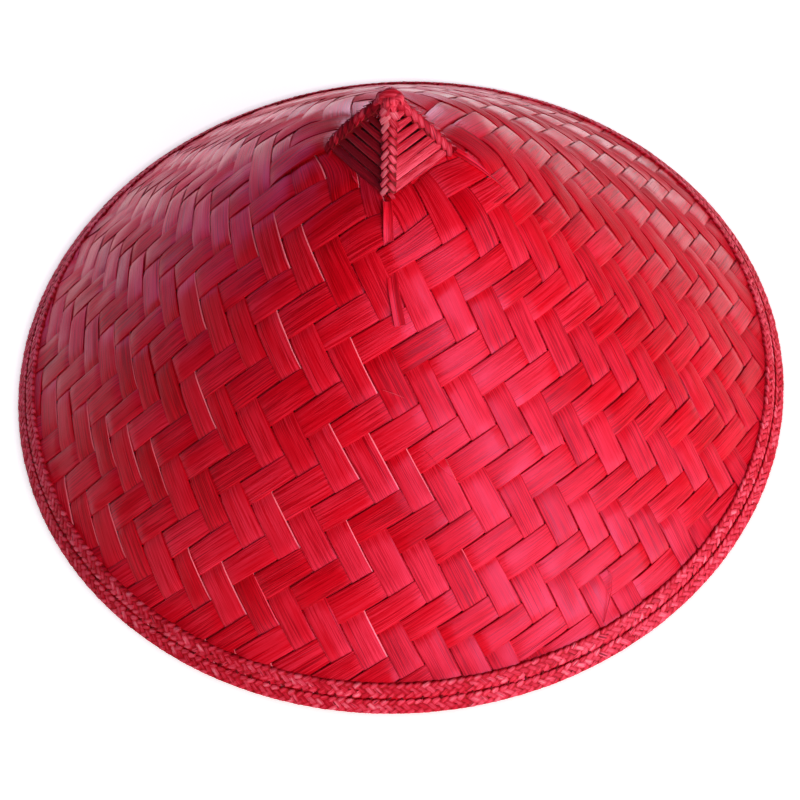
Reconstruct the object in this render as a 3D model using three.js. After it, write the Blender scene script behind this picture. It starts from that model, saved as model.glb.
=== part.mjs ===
import * as THREE from "three";

// Conical hat woven from flat splints of split bamboo. Millimetres, +Z up.
// It rests on its rim at z = 0, with the rim's centre at the origin and its front towards -Y.
// An azimuth is in degrees round the hat, 0 at the front and 90 at the right.

// Driving dimensions
const hatRadius = 200;
const crownHeight = 171.2;
const crownBulge = 1.35;
const wallThickness = 1.8;
const rowThickness = 1.9;
const rowWidth = 7.2;
const rowEase = 0.7;
const fitGap = 0.3;
const floorClearance = 0.5;
const roundSteps = 96;

// The small pyramid at the top of the crown
const tipX = 4.5;
const tipY = -3;
const tipZ = 171;
const peakBaseZ = 143;
const knotHeight = 4.6;
const knotFloorZ = tipZ - 3.8;
const knotTopZ = knotFloorZ + knotHeight;
const panelThickness = 1.6;
const panelInset = 3.2;
const rungCount = 7;
const slotWide = 1.9;
const slotNarrow = 0.7;
const slotMargin = 1.1;
const plaitWidth = 5.2;
const plaitThickness = 2.4;
const plaitRise = 0.9;
const plaitPitch = 4.2;
const plaitTooth = 0.5;
const plaitTopZ = tipZ - 4.8;
const plaitBottomZ = peakBaseZ + 1.7;
const panelTopZ = tipZ - 5;
const peakFit = 0.45;

const splintRed = 0xc8102e;
const plaitRed = 0xb01228;
const rimRed = 0xb8152f;

// The four corners of the peak's base, about the tip's place in plan
const peakCorners = [
  { name: "front", azimuth: -7.5, radius: 30 },
  { name: "right", azimuth: 80, radius: 26 },
  { name: "back", azimuth: 172, radius: 27 },
  { name: "left", azimuth: 262, radius: 29 },
];
const meanCornerRadius = 28;

// Sections where the square foot of the peak turns into the round cone.
// radius: of the section; height: above the floor; roundness: 0 is the peak's square, 1 is a circle
const shoulderSections = [
  { radius: 28.5, height: 143.0, roundness: 0 },
  { radius: 34, height: 141.1, roundness: 0.35 },
  { radius: 40, height: 137.2, roundness: 0.72 },
  { radius: 47, height: 131.3, roundness: 1 },
];
const centredFrom = 85;
const coneRadii = [60, 75, 90, 110, 130, 150, 165, 180];

const degrees = Math.PI / 180;

function standardMaterial(name, colour, roughness) {
  return new THREE.MeshStandardMaterial({ name, color: colour, roughness, metalness: 0 });
}

const splintMaterial = standardMaterial("woven_splints", splintRed, 0.45);
const plaitMaterial = standardMaterial("peak_plait", plaitRed, 0.55);
const rimMaterial = standardMaterial("rim_plait", rimRed, 0.6);

// The slope of the crown near the rim, and the radius where its outer face would reach the floor.
// The rim rows lie on that face and end at the hat's full radius.
function slopeAtRim(radius) {
  return Math.atan((crownHeight + crownBulge * Math.PI) / radius);
}
const rowReach = (fitGap + rowThickness) / Math.sin(slopeAtRim(hatRadius));
const crownRadius = hatRadius - rowReach;
const rimSlope = slopeAtRim(crownRadius);

function coneHeight(radius) {
  const share = radius / crownRadius;
  return crownHeight * (1 - share) + crownBulge * Math.sin(Math.PI * share);
}

// Radius of the straight-sided base of the peak at an azimuth
function squareRadius(azimuth) {
  const turned = ((azimuth - peakCorners[0].azimuth) % 360 + 360) % 360;
  for (let i = 0; i < peakCorners.length; i++) {
    const here = peakCorners[i];
    const next = peakCorners[(i + 1) % peakCorners.length];
    const start = here.azimuth - peakCorners[0].azimuth;
    const span = ((next.azimuth - here.azimuth) % 360 + 360) % 360;
    if (turned <= start + span) {
      const past = (turned - start) * degrees;
      const left = (start + span - turned) * degrees;
      const across = here.radius * Math.sin(past) + next.radius * Math.sin(left);
      return here.radius * next.radius * Math.sin(span * degrees) / across;
    }
  }
  return peakCorners[0].radius;
}

function sectionAt(radius) {
  const last = shoulderSections[shoulderSections.length - 1];
  if (radius >= last.radius) {
    return { height: coneHeight(radius), roundness: 1 };
  }
  const index = shoulderSections.findLastIndex((section) => section.radius <= radius);
  const inner = shoulderSections[index];
  const outer = shoulderSections[index + 1];
  const share = (radius - inner.radius) / (outer.radius - inner.radius);
  return {
    height: THREE.MathUtils.lerp(inner.height, outer.height, share),
    roundness: THREE.MathUtils.lerp(inner.roundness, outer.roundness, share),
  };
}

// A point of the crown's outer face, on the section of this radius
function onCrown(radius, azimuth) {
  const { height, roundness } = sectionAt(radius);
  const square = squareRadius(azimuth) * radius / meanCornerRadius;
  const reach = THREE.MathUtils.lerp(square, radius, roundness);
  const shift = THREE.MathUtils.clamp((centredFrom - radius) / (centredFrom - meanCornerRadius), 0, 1);
  const angle = azimuth * degrees;
  return new THREE.Vector3(
    tipX * shift + reach * Math.sin(angle),
    tipY * shift - reach * Math.cos(angle),
    height,
  );
}

function crownNormal(radius, azimuth) {
  const step = 0.5;
  const outward = onCrown(radius + step, azimuth).sub(onCrown(radius, azimuth));
  const around = onCrown(radius, azimuth + step).sub(onCrown(radius, azimuth - step));
  return outward.cross(around).normalize();
}

// A closed body skinned over loops of points with equal counts.
// A ring-shaped body joins its last loop to its first; any other body gets two flat ends.
function skinLoops(loops, isRing) {
  const count = loops[0].length;
  const positions = [];
  for (const loop of loops) {
    for (const point of loop) {
      positions.push(point.x, point.y, point.z);
    }
  }
  const indices = [];
  const stretches = isRing ? loops.length : loops.length - 1;
  for (let i = 0; i < stretches; i++) {
    const low = i * count;
    const high = ((i + 1) % loops.length) * count;
    for (let k = 0; k < count; k++) {
      const next = (k + 1) % count;
      indices.push(low + k, low + next, high + next);
      indices.push(low + k, high + next, high + k);
    }
  }
  if (!isRing) {
    const end = (loops.length - 1) * count;
    for (let k = 1; k < count - 1; k++) {
      indices.push(0, k + 1, k);
      indices.push(end, end + k, end + k + 1);
    }
  }
  const geometry = new THREE.BufferGeometry();
  geometry.setAttribute("position", new THREE.Float32BufferAttribute(positions, 3));
  geometry.setIndex(indices);
  geometry.computeVertexNormals();
  return geometry;
}

function roundLoop(pointAt) {
  const loop = [];
  for (let k = 0; k < roundSteps; k++) {
    loop.push(pointAt(k * 360 / roundSteps));
  }
  return loop;
}

// Crown: the outer face from the rim to the peak's foot, then the inner face back down
function crownGeometry() {
  const lowRadius = crownRadius - floorClearance / Math.tan(rimSlope);
  const innerLowRadius = lowRadius - wallThickness / Math.sin(rimSlope);
  const shoulderRadii = shoulderSections.map((section) => section.radius);
  const radii = [lowRadius, ...coneRadii.toReversed(), ...shoulderRadii.toReversed()];
  const outer = radii.map((radius) => roundLoop((azimuth) => onCrown(radius, azimuth)));
  const inner = radii.slice(1).map((radius) => roundLoop((azimuth) => {
    const inward = crownNormal(radius, azimuth).multiplyScalar(-wallThickness);
    return onCrown(radius, azimuth).add(inward);
  }));
  const innerFoot = roundLoop((azimuth) => onCrown(innerLowRadius, azimuth).setZ(floorClearance));
  return skinLoops([...outer, ...inner.toReversed(), innerFoot], true);
}

// One row of the rim: a flat band on the crown's outer face, from one slant distance to another,
// with its outer edges eased. The lowest row is cut flat where it meets the floor.
const rowFace = fitGap + rowThickness;
const rowFootSlant = -rowFace / Math.tan(rimSlope);
function rowGeometry(lowSlant, meetsFloor) {
  const highSlant = lowSlant + rowWidth;
  const up = new THREE.Vector2(-Math.cos(rimSlope), Math.sin(rimSlope));
  const out = new THREE.Vector2(Math.sin(rimSlope), Math.cos(rimSlope));
  const foot = new THREE.Vector2(crownRadius, 0);
  const place = (slant, lift) => foot.clone().addScaledVector(up, slant).addScaledVector(out, lift);
  const onFloor = (lift) => place(-lift / Math.tan(rimSlope), lift);
  const eased = rowFace - rowEase;
  const low = meetsFloor
    ? [onFloor(fitGap), onFloor(rowFace)]
    : [place(lowSlant, fitGap), place(lowSlant, eased), place(lowSlant + rowEase, rowFace)];
  const high = [place(highSlant - rowEase, rowFace), place(highSlant, eased), place(highSlant, fitGap)];
  const profile = [...low, ...high, low[0].clone()];
  const ring = new THREE.LatheGeometry(profile, roundSteps);
  ring.rotateX(Math.PI / 2);
  return ring;
}

// Places of the peak's corners on its base, and the tip
const tip = new THREE.Vector3(tipX, tipY, tipZ);
const baseCorners = peakCorners.map(({ azimuth, radius }) => new THREE.Vector3(
  tipX + radius * Math.sin(azimuth * degrees),
  tipY - radius * Math.cos(azimuth * degrees),
  peakBaseZ,
));

// A frame with its own x and y directions in a plane and its z direction out of the hat
function turnTo(mesh, origin, xAxis, yAxis) {
  const zAxis = new THREE.Vector3().crossVectors(xAxis, yAxis);
  mesh.position.copy(origin);
  mesh.quaternion.setFromRotationMatrix(new THREE.Matrix4().makeBasis(xAxis, yAxis, zAxis));
  return mesh;
}

// Peak panel: a triangle between two corners, x along its foot and y up the face, pierced by slots.
// The slots are widest beside the right and left plaits.
function peakPanel(name, from, to, wideAtStart) {
  const xAxis = to.clone().sub(from).normalize();
  const toTip = tip.clone().sub(from);
  const tipAlong = toTip.dot(xAxis);
  const yAxis = toTip.clone().addScaledVector(xAxis, -tipAlong);
  const faceHeight = yAxis.length();
  yAxis.normalize();
  const footLength = to.distanceTo(from);
  const startLean = tipAlong / faceHeight;
  const endLean = (footLength - tipAlong) / faceHeight;
  const startAt = (height) => startLean * height + panelInset * Math.hypot(1, startLean);
  const endAt = (height) => footLength - endLean * height - panelInset * Math.hypot(1, endLean);
  const low = peakFit;
  const limit = faceHeight * (panelTopZ - peakBaseZ) / (tipZ - peakBaseZ);
  const high = highestWithWidth(startAt, endAt, low, limit, slotMargin);
  const shape = new THREE.Shape([
    new THREE.Vector2(startAt(low), low),
    new THREE.Vector2(endAt(low), low),
    new THREE.Vector2(endAt(high), high),
    new THREE.Vector2(startAt(high), high),
  ]);
  const pitch = (high - low) / rungCount;
  for (let i = 1; i < rungCount; i++) {
    const middle = low + i * pitch;
    const start = startAt(middle) + slotMargin;
    const end = endAt(middle) - slotMargin;
    if (end - start < 2 * slotMargin) {
      continue;
    }
    const startHalf = (wideAtStart ? slotWide : slotNarrow) / 2;
    const endHalf = (wideAtStart ? slotNarrow : slotWide) / 2;
    shape.holes.push(new THREE.Path([
      new THREE.Vector2(start, middle - startHalf),
      new THREE.Vector2(start, middle + startHalf),
      new THREE.Vector2(end, middle + endHalf),
      new THREE.Vector2(end, middle - endHalf),
    ]));
  }
  const plate = new THREE.ExtrudeGeometry(shape, { depth: panelThickness, bevelEnabled: false });
  plate.translate(0, 0, -panelThickness);
  const mesh = new THREE.Mesh(plate, plaitMaterial);
  mesh.name = name;
  return turnTo(mesh, from, xAxis, yAxis);
}

// The height on a narrowing panel where only a set width is left
function highestWithWidth(startAt, endAt, low, high, width) {
  const lowWidth = endAt(low) - startAt(low);
  const highWidth = endAt(high) - startAt(high);
  if (highWidth >= width) {
    return high;
  }
  return low + (high - low) * (lowWidth - width) / (lowWidth - highWidth);
}

// Ridge plait: a flat bar down one corner of the peak, its edges toothed like the fishbone plait
function ridgePlait(corner, index) {
  const foot = baseCorners[index];
  const down = foot.clone().sub(tip).normalize();
  const startLength = (tipZ - plaitTopZ) / -down.z;
  const endLength = (tipZ - plaitBottomZ) / -down.z;
  const level = new THREE.Vector3(-down.y, down.x, 0).normalize();
  const teeth = Math.round((endLength - startLength) / plaitPitch);
  const pitch = (endLength - startLength) / teeth;
  const half = plaitWidth / 2;
  const shape = new THREE.Shape();
  shape.moveTo(startLength, -half + plaitTooth);
  for (let i = 0; i < teeth; i++) {
    const along = startLength + i * pitch;
    shape.lineTo(along + pitch * 0.8, -half);
    shape.lineTo(along + pitch, -half + plaitTooth);
  }
  for (let i = teeth; i > 0; i--) {
    const along = startLength + i * pitch;
    shape.lineTo(along, half - plaitTooth);
    shape.lineTo(along - pitch * 0.2, half);
  }
  shape.lineTo(startLength, half - plaitTooth);
  const bar = new THREE.ExtrudeGeometry(shape, { depth: plaitThickness, bevelEnabled: false });
  bar.translate(0, 0, plaitRise - plaitThickness);
  const mesh = new THREE.Mesh(bar, plaitMaterial);
  mesh.name = `ridge_plait_${corner.name}`;
  return turnTo(mesh, tip, down, level);
}

// Knot: the small closed knob over the tip, and the strip folded over it
const knotRadius = 5;
const knotShoulder = 0.62 * knotRadius;
function knotGeometry() {
  const profile = [
    new THREE.Vector2(0, knotFloorZ),
    new THREE.Vector2(knotRadius, knotFloorZ),
    new THREE.Vector2(knotRadius, knotFloorZ + 1.2),
    new THREE.Vector2(knotShoulder, knotTopZ - 1.1),
    new THREE.Vector2(0, knotTopZ),
  ];
  const knob = new THREE.LatheGeometry(profile, 12);
  knob.rotateX(Math.PI / 2);
  return knob;
}

// Folded strip: an arch over the knot, seen from the front, with its width front to back
const foldWidth = 6;
const foldThickness = 0.9;
function foldGeometry() {
  const reach = knotRadius + fitGap;
  const under = [
    new THREE.Vector2(-reach - 0.5, knotFloorZ + 0.4),
    new THREE.Vector2(-reach, knotFloorZ + 1.5),
    new THREE.Vector2(-knotShoulder - fitGap, knotTopZ - 1.1 + fitGap),
    new THREE.Vector2(0, knotTopZ + fitGap * 1.3),
    new THREE.Vector2(knotShoulder + fitGap, knotTopZ - 1.1 + fitGap),
    new THREE.Vector2(reach, knotFloorZ + 1.5),
    new THREE.Vector2(reach + 0.5, knotFloorZ + 0.4),
  ];
  const centre = new THREE.Vector2(0, knotFloorZ);
  const over = under.map((point) => {
    const outward = point.clone().sub(centre).normalize();
    return point.clone().addScaledVector(outward, foldThickness);
  });
  const shape = new THREE.Shape([...under, ...over.toReversed()]);
  const strip = new THREE.ExtrudeGeometry(shape, { depth: foldWidth, bevelEnabled: false });
  strip.rotateX(Math.PI / 2);
  strip.translate(0, foldWidth / 2, 0);
  return strip;
}

// Loose ends of the plaits: flat splints that lie on the crown.
// Start and end are a section's radius and an azimuth; sizes in millimetres.
const tailSplints = [
  { name: "tail_splint_front", fromRadius: 35, fromAzimuth: -6, toRadius: 71, toAzimuth: 0.6, width: 4.2 },
  { name: "tail_splint_right", fromRadius: 33, fromAzimuth: 79, toRadius: 50, toAzimuth: 74.5, width: 4 },
];
const tailThickness = 0.8;
const tailSteps = 8;
function tailGeometry(tail) {
  const loops = [];
  for (let i = 0; i <= tailSteps; i++) {
    const share = i / tailSteps;
    const radius = THREE.MathUtils.lerp(tail.fromRadius, tail.toRadius, share);
    const azimuth = THREE.MathUtils.lerp(tail.fromAzimuth, tail.toAzimuth, share);
    const normal = crownNormal(radius, azimuth);
    const middle = onCrown(radius, azimuth).addScaledVector(normal, fitGap);
    const side = onCrown(radius, azimuth + 1).sub(onCrown(radius, azimuth - 1)).normalize();
    const half = tail.width / 2;
    loops.push([
      middle.clone().addScaledVector(side, -half),
      middle.clone().addScaledVector(side, half),
      middle.clone().addScaledVector(side, half).addScaledVector(normal, tailThickness),
      middle.clone().addScaledVector(side, -half).addScaledVector(normal, tailThickness),
    ]);
  }
  return skinLoops(loops, false);
}

const hat = new THREE.Group();
hat.name = "conical_bamboo_hat";

function add(name, geometry, material) {
  const mesh = new THREE.Mesh(geometry, material);
  mesh.name = name;
  hat.add(mesh);
  return mesh;
}

add("crown_wall", crownGeometry(), splintMaterial);
add("rim_plait_lower", rowGeometry(rowFootSlant, true), rimMaterial);
add("rim_plait_upper", rowGeometry(rowFootSlant + rowWidth + fitGap, false), rimMaterial);

const [front, right, back, left] = baseCorners;
hat.add(peakPanel("peak_panel_front_right", front, right, false));
hat.add(peakPanel("peak_panel_back_right", right, back, true));
hat.add(peakPanel("peak_panel_back_left", back, left, false));
hat.add(peakPanel("peak_panel_front_left", left, front, true));
peakCorners.forEach((corner, index) => hat.add(ridgePlait(corner, index)));

const knot = add("peak_knot", knotGeometry(), plaitMaterial);
knot.position.set(tipX, tipY, 0);
const fold = add("tip_fold", foldGeometry(), plaitMaterial);
fold.position.set(tipX, tipY, 0);

for (const tail of tailSplints) {
  add(tail.name, tailGeometry(tail), splintMaterial);
}

export default hat;
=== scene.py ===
import math

import bpy
import numpy as np
from mathutils import Matrix, Vector


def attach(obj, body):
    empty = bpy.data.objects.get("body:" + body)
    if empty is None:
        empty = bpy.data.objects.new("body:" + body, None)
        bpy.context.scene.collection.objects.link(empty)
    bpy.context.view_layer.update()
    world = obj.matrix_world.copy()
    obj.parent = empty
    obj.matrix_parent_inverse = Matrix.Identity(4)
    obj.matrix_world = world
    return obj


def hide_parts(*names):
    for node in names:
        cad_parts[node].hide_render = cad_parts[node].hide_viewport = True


# A conical hat of red split bamboo, dressed over its CAD model. Lengths are worked in millimetres
# and azimuths in degrees, 0 at the front and 90 at the right. Meshes are made in metres.
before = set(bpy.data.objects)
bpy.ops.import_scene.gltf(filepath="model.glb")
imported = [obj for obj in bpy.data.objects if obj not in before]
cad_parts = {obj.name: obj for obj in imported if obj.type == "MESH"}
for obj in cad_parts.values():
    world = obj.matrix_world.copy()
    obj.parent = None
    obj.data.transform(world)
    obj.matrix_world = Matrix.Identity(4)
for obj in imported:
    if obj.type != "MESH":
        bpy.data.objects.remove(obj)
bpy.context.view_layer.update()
mm = 0.001
seed = 41

# Small helpers


def clearSelection():
    if bpy.context.object and bpy.context.object.mode != "OBJECT":
        bpy.ops.object.mode_set(mode="OBJECT")
    bpy.ops.object.select_all(action="DESELECT")


def pick(piece):
    clearSelection()
    piece.select_set(True)
    bpy.context.view_layer.objects.active = piece
    return piece


def bakePlace(piece):
    pick(piece)
    bpy.ops.object.transform_apply(location=True, rotation=True, scale=True)


def editMesh(piece, *steps):
    # runs mesh operators over the whole of a piece, each with its settings
    pick(piece)
    bpy.ops.object.mode_set(mode="EDIT")
    for operator, settings in steps:
        bpy.ops.mesh.select_all(action="SELECT")
        operator(**settings)
    bpy.ops.object.mode_set(mode="OBJECT")


def smoothPiece(piece, angle):
    pick(piece)
    bpy.ops.object.shade_smooth_by_angle(angle=math.radians(angle))


def finishPiece(piece, name, slot, stuff, *nodes):
    piece.name = name
    piece.data.name = name
    piece.data.materials.clear()
    piece.data.materials.append(stuff)
    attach(piece, "root")
    if nodes:
        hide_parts(*nodes)
    return piece


def lerp(start, end, share):
    return start + (end - start) * share


def easeInOut(share):
    share = np.clip(share, 0.0, 1.0)
    return share * share * (3.0 - 2.0 * share)


def unit(vectors):
    return vectors / np.linalg.norm(vectors, axis=-1, keepdims=True)


def placeByAxes(place, x, y, z):
    turn = Matrix((Vector(x), Vector(y), Vector(z))).transposed().to_4x4()
    return Matrix.Translation(Vector(place) * mm) @ turn


# Camera, at the height and slant the hat was looked at

camera = {
    "place": (0.0, -352.34, 485.65),
    "right": (0.99735, -0.06047, -0.04032),
    "up": (0.07268, 0.83666, 0.54289),
    "lens": 50.98,
    "sensor": 36.0,
}


def setCamera():
    bpy.ops.object.camera_add()
    eye = bpy.context.object
    eye.name = "camera"
    right = Vector(camera["right"]).normalized()
    back = right.cross(Vector(camera["up"])).normalized()
    eye.matrix_world = placeByAxes(camera["place"], right, back.cross(right), back)
    eye.data.lens = camera["lens"]
    eye.data.sensor_width = camera["sensor"]
    eye.data.clip_start = 0.01
    bpy.context.scene.camera = eye


clearSelection()
setCamera()
print("camera set")

# Materials


def linearColour(hexCode):
    # an sRGB colour as the linear values that shaders take
    parts = [int(hexCode[k:k + 2], 16) / 255 for k in (1, 3, 5)]
    linear = [p / 12.92 if p <= 0.04045 else ((p + 0.055) / 1.055) ** 2.4 for p in parts]
    return (*linear, 1.0)


def addNode(tree, kind, inputs=None, **settings):
    node = tree.nodes.new(kind)
    for name, value in settings.items():
        setattr(node, name, value)
    for socket, value in (inputs or {}).items():
        if isinstance(value, bpy.types.NodeSocket):
            tree.links.new(value, node.inputs[socket])
        else:
            node.inputs[socket].default_value = value
    return node


def setStops(ramp, stops):
    elements = ramp.color_ramp.elements
    while len(elements) < len(stops):
        elements.new(0.5)
    for element, (place, hexCode) in zip(elements, stops):
        element.position = place
        element.color = linearColour(hexCode)


def newMaterial(name):
    stuff = bpy.data.materials.new(name)
    stuff.use_nodes = True
    tree = stuff.node_tree
    tree.nodes.clear()
    return stuff, tree


# What every splint material shares: how its noises turn into dye, relief and gloss
splintGrain = {
    "patch": (0.35, 0.65),    # from a smooth stretch to a coarse one, as noise values
    "fine": (0.3, 0.66),      # from a valley between fibres to a crest
    "cutEdge": (-0.4, 0.0),   # tones from a cut edge to a planed face
    "cutRough": 0.85,
    "stops": (0.0, 0.36, 0.8, 1.0),
    "blotchDye": 0.35,
    "splitSoft": 0.07,
    "bandRelief": 0.5,
    "fineRelief": 0.38,
    "splitRelief": 0.12,
}


# Every splint carries its own directions: strand.x runs along it and strand.y across it, in
# millimetres, and strand.z is a number of its own. tone is how pale the splint is: a low one took
# the dye deepest. Sizes in a look are the width and length of a streak in millimetres.
def splintMaterial(name, look):
    stuff, tree = newMaterial(name)
    grain = splintGrain
    strand = addNode(tree, "ShaderNodeAttribute", attribute_name="strand").outputs["Vector"]
    tone = addNode(tree, "ShaderNodeAttribute", attribute_name="tone").outputs["Fac"]

    def streaks(size, detail, offset):
        # noise drawn out along the splint; the offset keeps one pattern apart from the next
        placed = addNode(tree, "ShaderNodeMapping", {
            "Vector": strand,
            "Location": (offset, offset * 1.7, 0.0),
            "Scale": (1 / size[1], 1 / size[0], 1.0),
        })
        noise = addNode(tree, "ShaderNodeTexNoise", {
            "Vector": placed.outputs["Vector"],
            "Scale": 1.0,
            "Detail": detail,
            "Roughness": 0.55,
        })
        return noise.outputs["Fac"]

    broad = streaks(look["band"], 2.0, 3.1)
    hair = streaks(look["fibre"], 3.0, 11.3)
    coarse = streaks(look["patch"], 0.0, 41.3)
    split = streaks(look["split"], 1.0, 23.7)
    blotch = streaks(look["blotch"], 3.0, 31.9)

    # some stretches were split coarsely and show every fibre, others stayed smooth
    strength = addNode(tree, "ShaderNodeMapRange", {
        "Value": coarse,
        "From Min": grain["patch"][0],
        "From Max": grain["patch"][1],
        "To Min": look["fibreStrength"][0],
        "To Max": look["fibreStrength"][1],
    })
    hairOff = addNode(tree, "ShaderNodeMath", {0: hair, 1: 0.5}, operation="SUBTRACT")
    fibres = addNode(tree, "ShaderNodeMath", {
        0: hairOff.outputs[0],
        1: strength.outputs["Result"],
        2: 0.5,
    }, operation="MULTIPLY_ADD")
    fine = addNode(tree, "ShaderNodeMapRange", {
        "Value": fibres.outputs[0],
        "From Min": grain["fine"][0],
        "From Max": grain["fine"][1],
    }, interpolation_type="SMOOTHSTEP").outputs["Result"]

    def weigh(parts):
        # the sum of some patterns, each times its weight
        pattern, weight = parts[0]
        total = addNode(tree, "ShaderNodeMath", {0: pattern, 1: weight}, operation="MULTIPLY").outputs[0]
        for pattern, weight in parts[1:]:
            total = addNode(tree, "ShaderNodeMath", {
                0: pattern,
                1: weight,
                2: total,
            }, operation="MULTIPLY_ADD").outputs[0]
        return total

    # the dye: deep in the splits between fibres, pale on the worn crests
    dye = addNode(tree, "ShaderNodeMapRange", {
        "Value": weigh([
            (tone, look["toneDye"]),
            (broad, look["bandDye"]),
            (fine, look["fibreDye"]),
            (blotch, grain["blotchDye"]),
        ]),
        "From Min": look["dyeRange"][0],
        "From Max": look["dyeRange"][1],
    })
    dyed = addNode(tree, "ShaderNodeValToRGB", {"Fac": dye.outputs["Result"]})
    setStops(dyed, list(zip(grain["stops"], look["dyes"])))
    crack = addNode(tree, "ShaderNodeMapRange", {
        "Value": split,
        "From Min": look["splitFrom"],
        "From Max": look["splitFrom"] + grain["splitSoft"],
    }, interpolation_type="SMOOTHSTEP")
    cracked = addNode(tree, "ShaderNodeMix", {
        "Factor": crack.outputs["Result"],
        6: linearColour(look["crack"]),
        7: dyed.outputs["Color"],
    }, data_type="RGBA")

    # relief: fibres stand a few hundredths of a millimetre, splits cut deeper
    bump = addNode(tree, "ShaderNodeBump", {
        "Strength": look["reliefStrength"],
        "Distance": look["reliefMm"] * mm,
        "Height": weigh([
            (broad, grain["bandRelief"]),
            (fine, grain["fineRelief"]),
            (crack.outputs["Result"], grain["splitRelief"]),
        ]),
    })
    planed = addNode(tree, "ShaderNodeMapRange", {
        "Value": fine,
        "To Min": look["rough"][0],
        "To Max": look["rough"][1],
    })
    worn = addNode(tree, "ShaderNodeMapRange", {
        "Value": coarse,
        "From Min": grain["patch"][0],
        "From Max": grain["patch"][1],
        "To Max": look["roughPatch"],
    })
    faced = addNode(tree, "ShaderNodeMath", {
        0: planed.outputs["Result"],
        1: worn.outputs["Result"],
    }, operation="ADD")
    rough = addNode(tree, "ShaderNodeMapRange", {
        "Value": tone,
        "From Min": grain["cutEdge"][0],
        "From Max": grain["cutEdge"][1],
        "To Min": grain["cutRough"],
        "To Max": faced.outputs[0],
    })
    surface = addNode(tree, "ShaderNodeBsdfPrincipled", {
        "Base Color": cracked.outputs[2],
        "Roughness": rough.outputs["Result"],
        "Normal": bump.outputs["Normal"],
        "IOR": 1.5,
        "Specular IOR Level": look["gloss"],
        "Specular Tint": look["glossTint"],
    })
    if look["brushed"]:
        # planed fibres spread the gloss sideways, as on brushed metal
        across = addNode(tree, "ShaderNodeAttribute", attribute_name="across").outputs["Vector"]
        surface.inputs["Anisotropic"].default_value = look["brushed"]
        tree.links.new(across, surface.inputs["Tangent"])
    addNode(tree, "ShaderNodeOutputMaterial", {"Surface": surface.outputs["BSDF"]})
    return stuff


# Split bamboo planed flat and dyed through: satin, streaked along the fibre, with a waxy film
dyedBamboo = splintMaterial("dyed_split_bamboo", {
    "dyes": ("#AC0009", "#DC081C", "#F42A44", "#FF7888"),        # deepest, middle, pale, and palest, reached on pale crests and by the painted glints on edges
    "crack": "#A4000A",
    "band": (2.4, 120.0),
    "fibre": (0.5, 22.0),
    "patch": (9.0, 26.0),
    "split": (0.75, 70.0),
    "blotch": (16.0, 38.4),
    "splitFrom": 0.27,
    "fibreStrength": (0.5, 2.0),
    "fibreDye": 0.42,
    "toneDye": 0.34,
    "bandDye": 0.4,
    "dyeRange": (0.42, 1.395),
    "reliefStrength": 0.8,
    "reliefMm": 0.14,
    "rough": (0.24, 0.36),
    "roughPatch": 0.2,
    "brushed": 0.8,
    "gloss": 0.33,
    "glossTint": (1.0, 0.38, 0.86, 1.0),
})

# The same bamboo split into narrow strips and plaited: duller, and paler on the middle of each leaf
peakBamboo = splintMaterial("dyed_bamboo_fine_strips", {
    "dyes": ("#7E0008", "#BE0A1E", "#EE5468", "#F6808C"),
    "crack": "#700006",
    "band": (1.3, 14.0),
    "fibre": (0.35, 9.0),
    "patch": (3.0, 8.0),
    "split": (0.9, 20.0),
    "blotch": (3.5, 8.4),
    "splitFrom": 0.28,
    "fibreStrength": (0.4, 1.0),
    "fibreDye": 0.45,
    "toneDye": 0.5,
    "bandDye": 0.4,
    "dyeRange": (0.5, 1.5),
    "reliefStrength": 0.8,
    "reliefMm": 0.12,
    "rough": (0.46, 0.58),
    "roughPatch": 0.1,
    "brushed": 0.0,
    "gloss": 0.32,
    "glossTint": (1.0, 0.5, 0.86, 1.0),
})

# Soft flat plait round the rim: fine strips that fray a little, so it is dull and mottled
rimBamboo = splintMaterial("dyed_rim_plait", {
    "dyes": ("#A4000C", "#D61028", "#F04860", "#F67C8A"),
    "crack": "#860008",
    "band": (1.2, 7.0),
    "fibre": (0.35, 5.0),
    "patch": (2.0, 4.0),
    "split": (0.8, 12.0),
    "blotch": (2.4, 5.76),
    "splitFrom": 0.26,
    "fibreStrength": (0.7, 1.5),
    "fibreDye": 0.35,
    "toneDye": 0.6,
    "bandDye": 0.3,
    "dyeRange": (0.3, 1.3625),
    "reliefStrength": 0.7,
    "reliefMm": 0.1,
    "rough": (0.45, 0.6),
    "roughPatch": 0.0,
    "brushed": 0.0,
    "gloss": 0.28,
    "glossTint": (1.0, 0.5, 0.86, 1.0),
})


# Folded strip ends packed under the plaits, darker than the strips as a painted shade where they show in
# the gaps, and red sewing thread, dark of its own: each with a fibrous grain
def coreMaterial(name, dark, light, grainMm):
    stuff, tree = newMaterial(name)
    place = addNode(tree, "ShaderNodeTexCoord").outputs["Object"]
    grain = addNode(tree, "ShaderNodeTexNoise", {
        "Vector": place,
        "Scale": 1 / (grainMm * mm),
        "Detail": 3.0,
    })
    tint = addNode(tree, "ShaderNodeValToRGB", {"Fac": grain.outputs["Fac"]})
    setStops(tint, [(0.3, dark), (0.7, light)])
    bump = addNode(tree, "ShaderNodeBump", {
        "Strength": 0.6,
        "Distance": 0.2 * mm,
        "Height": grain.outputs["Fac"],
    })
    surface = addNode(tree, "ShaderNodeBsdfPrincipled", {
        "Base Color": tint.outputs["Color"],
        "Roughness": 0.7,
        "Normal": bump.outputs["Normal"],
        "IOR": 1.5,
        "Specular IOR Level": 0.2,
    })
    addNode(tree, "ShaderNodeOutputMaterial", {"Surface": surface.outputs["BSDF"]})
    return stuff


# the cores' dark colours are painted shade for the gaps between leaves and bands
plaitCoreShaded = coreMaterial("dyed_bamboo_strip_core", "#560004", "#8A0610", 0.9)
rimCoreShaded = coreMaterial("dyed_rim_strip_core", "#98000A", "#C20C1A", 0.9)
sewingThread = coreMaterial("red_sewing_thread", "#5A0006", "#8E0612", 0.3)
print("materials made")

# The crown's surface, as the CAD model has it

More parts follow.
